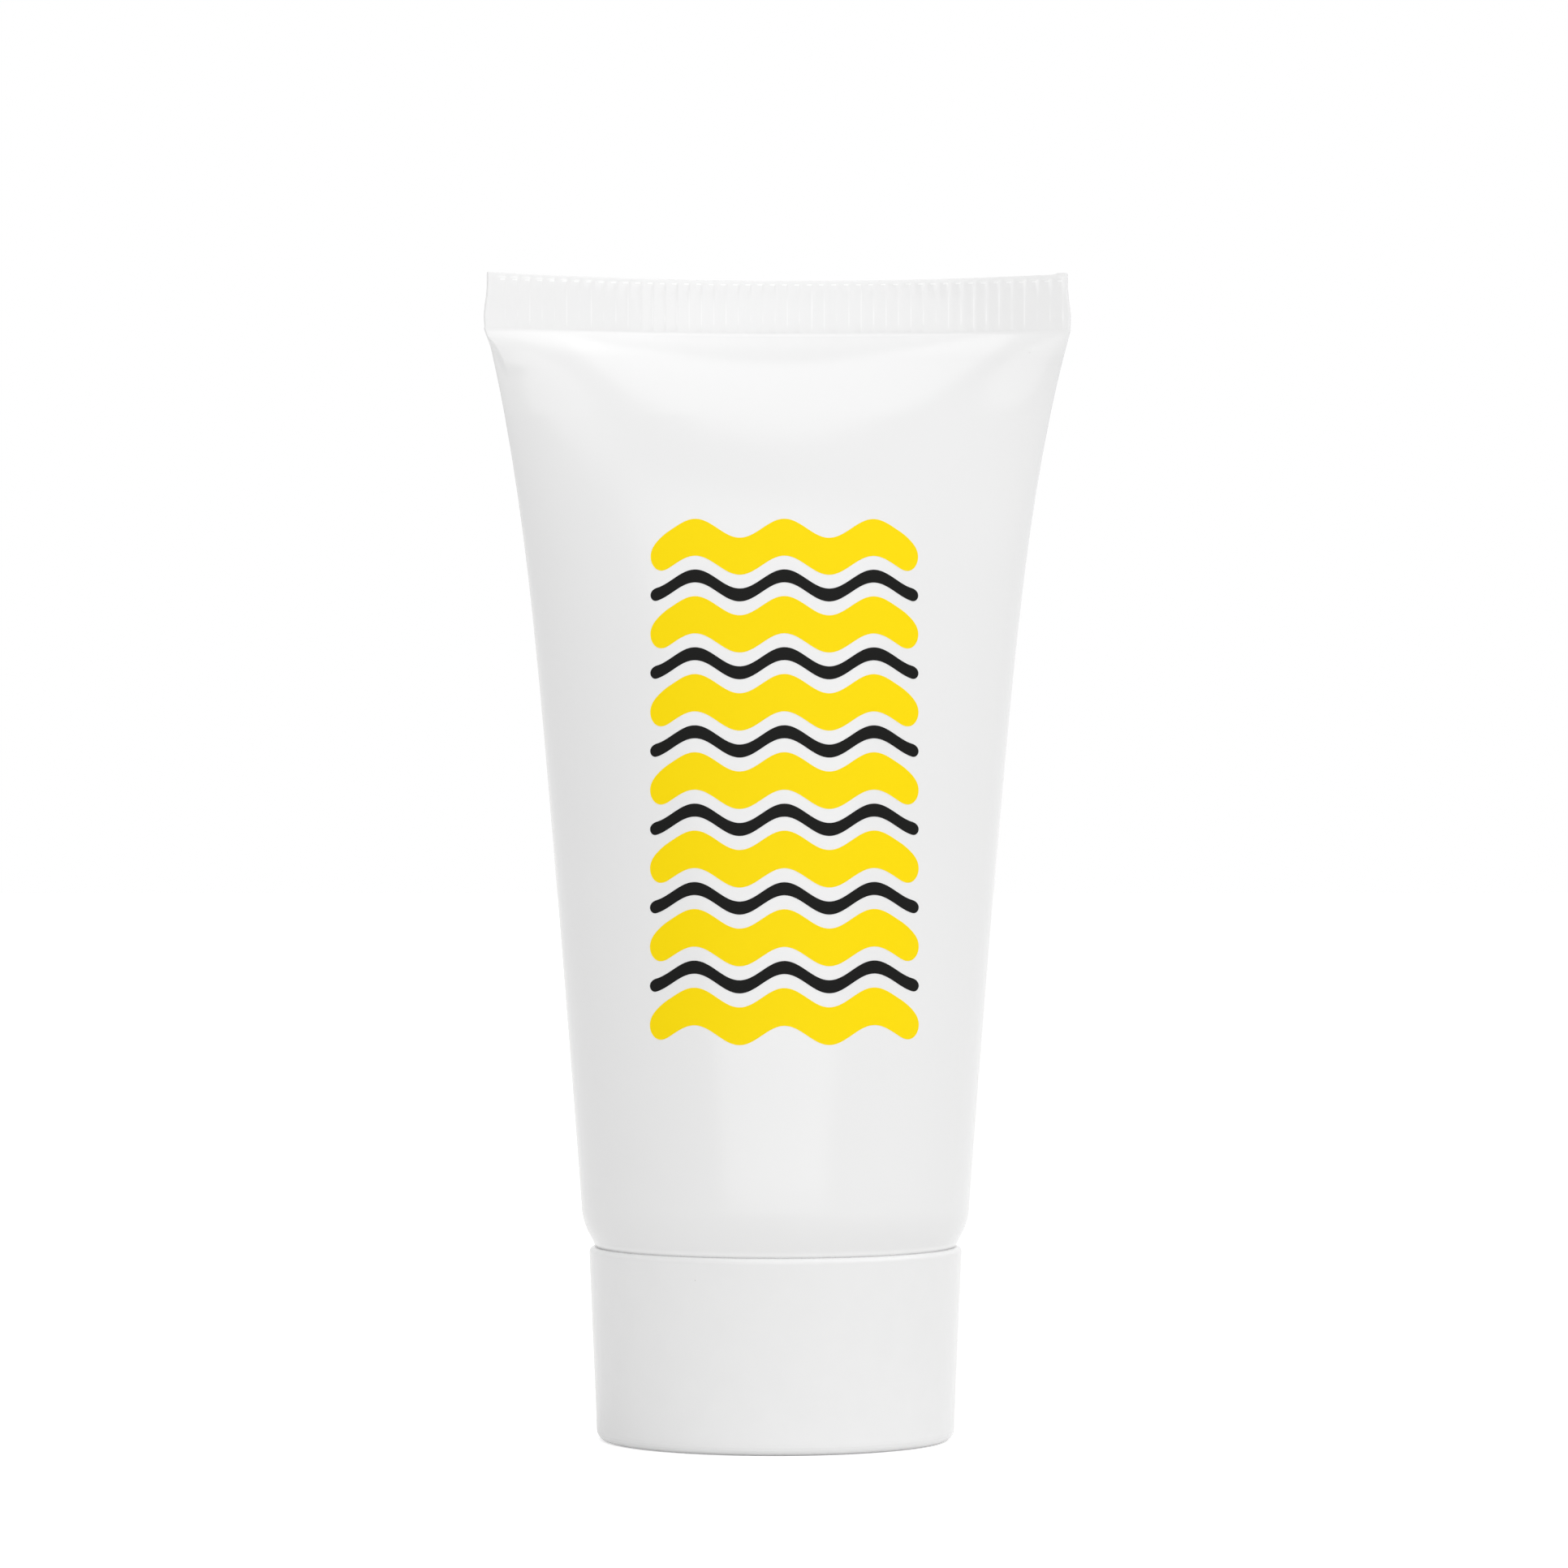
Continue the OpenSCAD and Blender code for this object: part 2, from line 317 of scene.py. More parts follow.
def foot_ring(angle, inset=0.0, flare=0.0):
    """A ring of the foot, this angle down round its bend."""
    r = tube_r - foot_r + (foot_r - inset) * math.cos(angle) + flare
    return ring(round_z - (foot_r - inset) * math.sin(angle), r, r)


def crimp_ring(up, thinned=0.0):
    """A ring of the crimp, up above its lower edge, which loses thinned on every side."""
    t = up / crimp_h
    spread = spread_most - spread_loss_above * eased(t, widest_at, narrow_from)
    spread -= spread_loss_below * (1 - eased(t, 0, widest_at))
    return ring(
        crimp_z + up, crimp_half + spread - thinned, wall - thinned, plate=wall - thinned,
        bend=(crimp_bow, crimp_turn, t * crimp_rise), even=1.0,
    )


# The inside ends where its two faces meet, a hair apart, so that they merge
inside_top = 0.975
inside_gap = 0.0004
inner_steps = 9
inner_drop = 0.01
inner_foot_steps = 6
# The outside has closer rings above high_start, where it folds flat
foot_steps = 12
low_steps = 20
high_start = 0.9
high_steps = 24
plain_steps = 4
edge_round = 0.12
edge_steps = 3
# The ridges run out just inside the crimp's two edges. Their lips are some run-outs long.
ridge_low = 0.1
ridge_high = crimp_h - 0.31
ridge_run_out = 0.14
ridge_pitch = 1.11
ridge_count = 46
ridge_shift = 0.3
ridge_reach = ridge_pitch * ridge_count / 2
lip_run_outs = 5


def sleeve_rings():
    """From the inside of the crimp down to the foot, round its edge, and up the outside."""
    inner_turn = math.asin((round_z - foot_z) / (foot_r - wall))
    rings = [body_ring(inside_top, depth_at(inside_top) - inside_gap)]
    for i in range(inner_steps, 0, -1):
        # Closer together towards the top, where the bow grows fast and the wall must not be cut
        risen = math.sin(math.pi / 2 * i / inner_steps)
        rings.append(body_ring(inside_top * risen - inner_drop, wall))
    for i in range(inner_foot_steps):
        rings.append(foot_ring(inner_turn * i / (inner_foot_steps - 1), wall))
    for i in range(foot_steps):
        # The last quarter of the foot's bend straightens out and stands upright on the rim
        left = 1 - i / foot_steps
        rings.append(foot_ring(foot_turn * left, flare=foot_flare * max(0, 4 * left - 3) ** 2))
    for i in range(low_steps):
        rings.append(body_ring(high_start * i / low_steps))
    for i in range(high_steps + 1):
        rings.append(body_ring(high_start + (1 - high_start) * i / high_steps))
    half_run = ridge_run_out / 2
    low_rows = [ridge_low + k * half_run for k in range(3)]
    high_rows = [ridge_high + (k - 2) * half_run for k in range(3)]
    lip_row = high_rows[0] - lip_run_outs * ridge_run_out
    plain_rows = [
        low_rows[-1] + (lip_row - low_rows[-1]) * k / plain_steps for k in range(1, plain_steps + 1)]
    for up in low_rows + plain_rows + high_rows + [crimp_h - edge_round]:
        rings.append(crimp_ring(up))
    for k in range(1, edge_steps + 1):
        angle = math.pi / (2 * edge_steps) * k
        lost = edge_round * (1 - math.cos(angle))
        rings.append(crimp_ring(crimp_h - edge_round * (1 - math.sin(angle)), lost))
    rings.append(crimp_ring(crimp_h, wall))
    return rings


def ring_points(name, rings):
    """A mesh with one loose point for each ring, which carries the ring's sizes in metres."""
    mesh = bpy.data.meshes.new(name)
    mesh.from_pydata([(0, 0, z * mm) for _, _, (_, _, z) in rings], [], [])
    for label in ("outline", "bend", "form"):
        mesh.attributes.new(label, "FLOAT_VECTOR", "POINT")
    sizes = mesh.attributes
    for i, ((half_width, bulge, plate), (bow, turn, rise), (even, crown, z)) in enumerate(rings):
        sizes["outline"].data[i].vector = (half_width * mm, bulge * mm, plate * mm)
        sizes["bend"].data[i].vector = (bow * mm, turn, rise * mm)
        sizes["form"].data[i].vector = (even, crown, z * mm)
    return mesh


def geometry_tree(name, inputs, output):
    """A Geometry Nodes tree with these named inputs and one geometry output."""
    tree = bpy.data.node_groups.new(name, "GeometryNodeTree")
    for label, kind in inputs.items():
        tree.interface.new_socket(label, in_out="INPUT", socket_type="NodeSocket" + kind)
    tree.interface.new_socket(output, in_out="OUTPUT", socket_type="NodeSocketGeometry")
    return tree, add(tree, "NodeGroupInput").outputs


def skin_tree():
    """Stretches a grid over the rings that the modified mesh's points stand for."""
    tree, given = geometry_tree(
        "Skin over rings", {"Rings": "Geometry", "Points round": "Int", "Material": "Material"}, "Skin")
    count = add(tree, "GeometryNodeAttributeDomainSize", [given["Rings"]]).outputs["Point Count"]
    columns = add(tree, "ShaderNodeMath", [given["Points round"], 1.0], operation="ADD")
    grid = add(tree, "GeometryNodeMeshGrid", [1.0, 1.0, columns, count]).outputs["Mesh"]
    spot = add(tree, "ShaderNodeSeparateXYZ", [add(tree, "GeometryNodeInputPosition")]).outputs
    share = add(tree, "ShaderNodeMath", [spot["X"], 0.5], operation="ADD")
    last = add(tree, "ShaderNodeMath", [count, 1.0], operation="SUBTRACT")
    height = add(tree, "ShaderNodeMath", [spot["Y"], 0.5], operation="ADD")
    exact = add(tree, "ShaderNodeMath", [height, last], operation="MULTIPLY")
    row = add(tree, "ShaderNodeMath", [exact], operation="ROUND")

    def of_ring(label):
        """The three sizes that the row's ring point carries under this label."""
        field = add(tree, "GeometryNodeInputNamedAttribute", [label], data_type="FLOAT_VECTOR")
        sizes = add(
            tree, "GeometryNodeSampleIndex", [given["Rings"], field, row], data_type="FLOAT_VECTOR")
        return add(tree, "ShaderNodeSeparateXYZ", [sizes]).outputs

    outline = of_ring("outline")
    bend = of_ring("bend")
    form = of_ring("form")

    # c runs round the ring as a cosine does, or evenly along a flat one
    angle = add(tree, "ShaderNodeMath", [share, math.tau], operation="MULTIPLY")
    cosine = add(tree, "ShaderNodeMath", [angle], operation="COSINE")
    sine = add(tree, "ShaderNodeMath", [angle], operation="SINE")
    side = add(tree, "ShaderNodeMath", [sine], operation="SIGN")
    fourfold = add(tree, "ShaderNodeMath", [share, 4.0, -2.0], operation="MULTIPLY_ADD")
    folded = add(tree, "ShaderNodeMath", [fourfold], operation="ABSOLUTE")
    straight = add(tree, "ShaderNodeMath", [folded, 1.0], operation="SUBTRACT")
    c = add(tree, "ShaderNodeMix", {0: form["X"], 2: cosine, 3: straight}, data_type="FLOAT")
    c2 = add(tree, "ShaderNodeMath", [c, c], operation="MULTIPLY")
    rest = add(tree, "ShaderNodeMath", [1.0, c2], operation="SUBTRACT")
    kept = add(tree, "ShaderNodeMath", [rest, 0.0], operation="MAXIMUM")
    crown = add(tree, "ShaderNodeMath", [kept, form["Y"]], operation="POWER")
    # The small power keeps the plate's full depth almost to the ends of the ring
    plate = add(tree, "ShaderNodeMath", [kept, 0.08], operation="POWER")
    plate_depth = add(tree, "ShaderNodeMath", [plate, outline["Z"]], operation="MULTIPLY")
    half_depth = add(tree, "ShaderNodeMath", [crown, outline["Y"], plate_depth], operation="MULTIPLY_ADD")

    x = add(tree, "ShaderNodeMath", [c, outline["X"]], operation="MULTIPLY")
    depth = add(tree, "ShaderNodeMath", [half_depth, side], operation="MULTIPLY")
    third = add(tree, "ShaderNodeMath", [1 / 3, c2], operation="SUBTRACT")
    y = add(tree, "ShaderNodeMath", [bend["X"], third, depth], operation="MULTIPLY_ADD")
    z = add(tree, "ShaderNodeMath", [bend["Z"], c2, form["Z"]], operation="MULTIPLY_ADD")
    point = add(tree, "ShaderNodeCombineXYZ", [x, y, z])
    turned = add(
        tree, "ShaderNodeVectorRotate", {"Vector": point, "Angle": bend["Y"]}, rotation_type="Z_AXIS")
    marked = grid
    for label, value in (("across", x), ("height", form["Z"])):
        marked = add(
            tree, "GeometryNodeStoreNamedAttribute",
            {"Geometry": marked, "Name": label, "Value": value}, data_type="FLOAT", domain="POINT",
        )
    laid = add(tree, "GeometryNodeSetPosition", {"Geometry": marked, "Position": turned})
    joined = add(tree, "GeometryNodeMergeByDistance", {"Geometry": laid, "Distance": 0.002 * mm})
    smooth = add(tree, "GeometryNodeSetShadeSmooth", {"Geometry": joined})
    whole = add(tree, "GeometryNodeRealizeInstances", {"Geometry": smooth})
    finished = add(tree, "GeometryNodeSetMaterial", {"Geometry": whole, "Material": given["Material"]})
    add(tree, "NodeGroupOutput", [finished])
    return tree


# In shares of a pitch from its middle, each ridge rises gently from its left foot to its crest,
# and drops sharply at its right edge
ridge_foot = -0.46
ridge_crest = 0.04
ridge_edge = 0.24
ridge_drop = 0.3


def crimp_tree():
    """Raises the crimp's ridges out of the faces that the jaws pressed."""
    tree, given = geometry_tree("Crimp ridges", {
        "Sleeve": "Geometry",
        "Pitch": "Float",
        "Shift": "Float",
        "Reach": "Float",
        "Height": "Float",
        "Lip": "Float",
        "Lower end": "Float",
        "Upper end": "Float",
        "Run out": "Float",
        "Material": "Material",
    }, "Sleeve")
    across = add(tree, "GeometryNodeInputNamedAttribute", ["across"], data_type="FLOAT")
    moved = add(tree, "ShaderNodeMath", [across, given["Shift"]], operation="SUBTRACT")
    pitches = add(tree, "ShaderNodeMath", [moved, given["Pitch"]], operation="DIVIDE")
    within = add(tree, "ShaderNodeMath", [pitches, 1.0, 0.0], operation="WRAP")
    spot = add(tree, "ShaderNodeMath", [within, 0.5], operation="SUBTRACT")
    gentle = add(tree, "ShaderNodeMapRange", {
        "Value": spot, "From Min": ridge_foot, "From Max": ridge_crest})
    sharp = add(tree, "ShaderNodeMapRange", {
        "Value": spot, "From Min": ridge_drop, "From Max": ridge_edge})
    profile = add(tree, "ShaderNodeMath", [gentle, sharp], operation="MULTIPLY")
    z = add(tree, "GeometryNodeInputNamedAttribute", ["height"], data_type="FLOAT")
    low_top = add(tree, "ShaderNodeMath", [given["Lower end"], given["Run out"]], operation="ADD")
    low = add(
        tree, "ShaderNodeMapRange", {"Value": z, "From Min": given["Lower end"], "From Max": low_top},
        interpolation_type="SMOOTHSTEP",
    )
    high_top = add(tree, "ShaderNodeMath", [given["Upper end"], given["Run out"]], operation="SUBTRACT")
    high = add(
        tree, "ShaderNodeMapRange", {"Value": z, "From Min": given["Upper end"], "From Max": high_top},
        interpolation_type="SMOOTHSTEP",
    )
    away = add(tree, "ShaderNodeMath", [moved], operation="ABSOLUTE")
    inside = add(tree, "ShaderNodeMath", [away, given["Reach"]], operation="LESS_THAN")
    rows = add(tree, "ShaderNodeMath", [low, high], operation="MULTIPLY")
    shown = add(tree, "ShaderNodeMath", [rows, inside], operation="MULTIPLY")
    raised = add(tree, "ShaderNodeMath", [shown, profile], operation="MULTIPLY")
    # A ridge stands up in a lip at its upper end, where the jaws' teeth bite deepest
    lip_low = add(
        tree, "ShaderNodeMath", [given["Run out"], -lip_run_outs, high_top], operation="MULTIPLY_ADD")
    lip = add(tree, "ShaderNodeMapRange", {
        "Value": z, "From Min": lip_low, "From Max": high_top, "To Min": 0.0, "To Max": given["Lip"]})
    # The teeth are worn, so the ridges come and go along their length
    wear = add(tree, "ShaderNodeTexNoise", {"Scale": 1 / (1.3 * mm), "Detail": 1.0}).outputs["Fac"]
    sharpness = add(tree, "ShaderNodeMapRange", {
        "Value": wear, "From Min": 0.35, "From Max": 0.65, "To Min": 0.25, "To Max": 1.25})
    tall = add(tree, "ShaderNodeMath", [given["Height"], sharpness, lip], operation="MULTIPLY_ADD")
    height = add(tree, "ShaderNodeMath", [raised, tall], operation="MULTIPLY")
    normal = add(tree, "GeometryNodeInputNormal")
    push = add(tree, "ShaderNodeVectorMath", {0: normal, 3: height}, operation="SCALE")
    pressed = add(tree, "GeometryNodeSetPosition", {"Geometry": given["Sleeve"], "Offset": push})
    whole = add(tree, "GeometryNodeRealizeInstances", {"Geometry": pressed})
    finished = add(tree, "GeometryNodeSetMaterial", {"Geometry": whole, "Material": given["Material"]})
    add(tree, "NodeGroupOutput", [finished])
    return tree


def made_by(name, mesh, steps):
    """A plain piece: what the geometry trees in steps make of the mesh, each with its inputs."""
    piece = bpy.data.objects.new(name, mesh)
    scene.collection.objects.link(piece)
    for tree, values in steps:
        modifier = piece.modifiers.new(tree.name, "NODES")
        modifier.node_group = tree
        for item in tree.interface.items_tree:
            if item.item_type == "SOCKET" and item.in_out == "INPUT" and item.name in values:
                modifier[item.identifier] = values[item.name]
    depsgraph = bpy.context.evaluated_depsgraph_get()
    plain = bpy.data.meshes.new_from_object(piece.evaluated_get(depsgraph))
    piece.modifiers.clear()
    piece.data = plain
    return piece


# Across a ridge, the painted highlights are placed in shares of the pitch from its left. Along it, a
# line's ends are in mm over the crimp's lower edge, and each varies from ridge to ridge.
line_middle = 0.76
line_half = 0.07
line_core = 0.02
line_highlight = 0.65
line_top = 1.9
line_top_varies = 2.6
line_foot = 0.9
line_foot_varies = 0.8
line_fades_over = 1.5
line_starts_over = 0.5
lip_middle = 0.53
lip_half = 0.19
lip_tall = 0.055


def painted_crest_highlights(tree, height):
    """Painted highlights: white on each ridge's lip, and in a thin line down its edge, where the ridges
    catch the light.
    """
    across = add(tree, "ShaderNodeAttribute", attribute_name="across").outputs["Fac"]
    moved = add(tree, "ShaderNodeMath", [across, ridge_shift * mm], operation="SUBTRACT")
    pitches = add(tree, "ShaderNodeMath", [moved, ridge_pitch * mm], operation="DIVIDE")
    ridge = add(tree, "ShaderNodeMath", [pitches], operation="FLOOR")
    within = add(tree, "ShaderNodeMath", [pitches, ridge], operation="SUBTRACT")
    aside = add(tree, "ShaderNodeMath", [within, line_middle], operation="SUBTRACT")
    away = add(tree, "ShaderNodeMath", [aside], operation="ABSOLUTE")
    line = add(tree, "ShaderNodeMapRange", {"Value": away, "From Min": line_half, "From Max": line_core})
    # No two lines reach equally far up or down
    draw = add(tree, "ShaderNodeTexWhiteNoise", {"W": ridge}, noise_dimensions="1D").outputs["Value"]
    top = add(
        tree, "ShaderNodeMath", [draw, line_top_varies * mm, (crimp_z + line_top) * mm],
        operation="MULTIPLY_ADD",
    )
    below_top = add(tree, "ShaderNodeMath", [top, height], operation="SUBTRACT")
    fading = add(tree, "ShaderNodeMapRange", {
        "Value": below_top, "From Min": 0.0, "From Max": line_fades_over * mm, "To Max": line_highlight})
    foot = add(
        tree, "ShaderNodeMath", [draw, -line_foot_varies * mm, (crimp_z + line_foot) * mm],
        operation="MULTIPLY_ADD",
    )
    over_foot = add(tree, "ShaderNodeMath", [height, foot], operation="SUBTRACT")
    started = add(tree, "ShaderNodeMapRange", {
        "Value": over_foot, "From Min": 0.0, "From Max": line_starts_over * mm})
    part = add(tree, "ShaderNodeMath", [fading, started], operation="MULTIPLY")
    lines = add(tree, "ShaderNodeMath", [line, part], operation="MULTIPLY")
    lip_z = (crimp_z + ridge_high - ridge_run_out / 2) * mm
    near = add(tree, "ShaderNodeMath", [height, lip_z, lip_tall * mm], operation="COMPARE")
    crest = add(tree, "ShaderNodeMath", [within, lip_middle, lip_half], operation="COMPARE")
    lips = add(tree, "ShaderNodeMath", [near, crest], operation="MULTIPLY")
    both = add(tree, "ShaderNodeMath", [lines, lips], operation="MAXIMUM")
    off_middle = add(tree, "ShaderNodeMath", [moved], operation="ABSOLUTE")
    inside = add(tree, "ShaderNodeMath", [off_middle, ridge_reach * mm], operation="LESS_THAN")
    return add(tree, "ShaderNodeMath", [both, inside], operation="MULTIPLY")


# How far the lighter colour reaches below the crimp, and how far the foot's painted light reaches above
# the cap's rim
whitened_below = 2.5
foot_painted_light_reach = 0.6


def extruded_ldpe():
    # White LDPE film, extruded over a calibrator: waxy, with a clear gloss, faint draw lines up
    # the tube, a fine orange peel, and now and then a dark speck from the colour masterbatch.
    material, tree, place = finish_of("LDPE sleeve, extruded, white, gloss")
    drawn = add(tree, "ShaderNodeMapping", {"Vector": place, "Scale": (1, 1, 0.03)})
    lines = add(tree, "ShaderNodeTexNoise", {"Vector": drawn, "Scale": 1 / (0.9 * mm), "Detail": 2.0})
    peel = add(tree, "ShaderNodeTexNoise", {"Vector": place, "Scale": 1 / (0.5 * mm), "Detail": 1.0})
    both = add(tree, "ShaderNodeMath", [peel, 0.6, lines], operation="MULTIPLY_ADD")
    relief = add(tree, "ShaderNodeBump", {"Strength": 0.18, "Distance": 0.02 * mm, "Height": both})
    cloud = add(tree, "ShaderNodeTexNoise", {"Vector": place, "Scale": 1 / (12 * mm), "Detail": 2.0})
    white = add(tree, "ShaderNodeMix", {0: cloud, 6: "#EDEDED", 7: "#EFEFEF"}, data_type="RGBA")
    # The crimp and the band just below it are lighter in colour, and the hot jaws iron the crimp glossier
    # than the rest
    height = add(tree, "ShaderNodeSeparateXYZ", [place]).outputs["Z"]
    pressed = add(tree, "ShaderNodeMapRange", {
        "Value": height, "From Min": (crimp_z - whitened_below) * mm, "From Max": crimp_z * mm})
    whitened = add(tree, "ShaderNodeMix", {0: pressed, 6: white, 7: "#F5F5F5"}, data_type="RGBA")
    gloss = add(tree, "ShaderNodeMapRange", {
        "Value": height, "From Min": crimp_z * mm, "From Max": (crimp_z + ridge_low) * mm,
        "To Min": 0.18, "To Max": 0.14,
    })
    # Painted light: the foot is lighter in colour just above the cap's rim, standing in for light in the
    # notch between sleeve and cap
    low = add(tree, "ShaderNodeMapRange", {
        "Value": height, "From Min": (rim_z + foot_painted_light_reach) * mm, "From Max": rim_z * mm})
    foot_painted_light = add(tree, "ShaderNodeMix", {0: low, 6: whitened, 7: "#FBFBFB"}, data_type="RGBA")
    # Painted highlights: white glints on the ridges' lips and thin white lines down their edges
    crest_highlights = painted_crest_highlights(tree, height)
    highlighted = add(tree, "ShaderNodeMix", {0: crest_highlights, 6: foot_painted_light, 7: "#FFFFFF"}, data_type="RGBA")
    speck = specks_in(tree, place, 7 * mm, 0.09 * mm, 0.3)
    colour = add(tree, "ShaderNodeMix", {0: speck, 6: highlighted, 7: "#C9C8C5"}, data_type="RGBA")
    shader = add(tree, "ShaderNodeBsdfPrincipled", {
        "Base Color": colour,
        "Roughness": gloss,
        "IOR": 1.51,
        "Normal": relief,
    })
    add(tree, "ShaderNodeOutputMaterial", {"Surface": shader})
    return material


ridge_height = 0.02
ridge_lip = 0.1
# Twelve columns of the skin to a ridge
skin_columns = 1136
skin = skin_tree()
ldpe = extruded_ldpe()
sleeve = made_by("sleeve_crimped", ring_points("sleeve_crimped", sleeve_rings()), [
    (skin, {"Points round": skin_columns, "Material": ldpe}),
    (crimp_tree(), {
        "Pitch": ridge_pitch * mm,
        "Shift": ridge_shift * mm,
        "Reach": ridge_reach * mm,
        "Height": ridge_height * mm,
        "Lip": ridge_lip * mm,
        "Lower end": (crimp_z + ridge_low) * mm,
        "Upper end": (crimp_z + ridge_high) * mm,
        "Run out": ridge_run_out * mm,
        "Material": ldpe,
    }),
])

# Filling and crimping leave small marks: the left corner folded sharply under the crimp, which
# draws that side in a little, and the knife pulled up a nub at the right end of the top edge
crease_top = 98.66
crease_drop = 2.85
crease_x = -25.74
crease_lean = 1.61
crease_curve = 0.7
crease_height = 0.35
crease_fade = 1.2
crease_edge = 0.35
crease_starts = crease_top - crease_drop - 0.4
crease_full = crease_top - crease_drop + 0.8
drawn_in = 0.2
drawn_from = 45
drawn_full = 95
drawn_until = crease_top - 0.8
nub_height = 0.13
nub_inner = crimp_half - 1.2
nub_outer = crimp_half - 0.9
nub_low = crimp_z + 4
nub_high = crimp_z + 4.7


def handled(x, y, z, front):
    """Where a point of the sleeve lies after filling and crimping, in mm."""
    down = max(0, (crease_top - z) / crease_drop)
    beside = x - (crease_x + crease_lean * down ** crease_curve)
    if front and x < 0:
        near = math.exp(-beside / crease_fade) if beside > 0 else max(0, 1 + beside / crease_edge)
        run = eased(z, crease_starts, crease_full) * (1 - eased(z, crease_top, crimp_z))
        y -= crease_height * near * run
    if x < 0:
        pulled = eased(z, drawn_from, drawn_full)
        x *= 1 - drawn_in / crimp_half * pulled * (1 - eased(z, drawn_until, crimp_z))
    z += nub_height * eased(x, nub_inner, nub_outer) * eased(z, nub_low, nub_high)
    return x, y, z


fronts = [normal.vector.y < 0 for normal in sleeve.data.vertex_normals]
spots = [vertex.co / mm for vertex in sleeve.data.vertices]
places = [v * mm for spot, front in zip(spots, fronts) for v in handled(*spot, front)]
sleeve.data.vertices.foreach_set("co", places)
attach(sleeve, "tube")
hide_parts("sleeve")

# The print is two screen-printed inks on the front of the sleeve, yellow bands with thin black
# lines between them, all waved. It is printed while the sleeve is round, so it follows the wall.

print_x = 0.8
print_z = 59.3
print_half = 11.85
wave_pitch = 6.9
wave_length = 7.9
wave_rise = 0.85
yellow_bands = 7
yellow_height = 3.3
black_height = 1.15
band_columns = 161
band_rows = 9
ink_film = 0.02
ink_mesh_pitch = 0.25


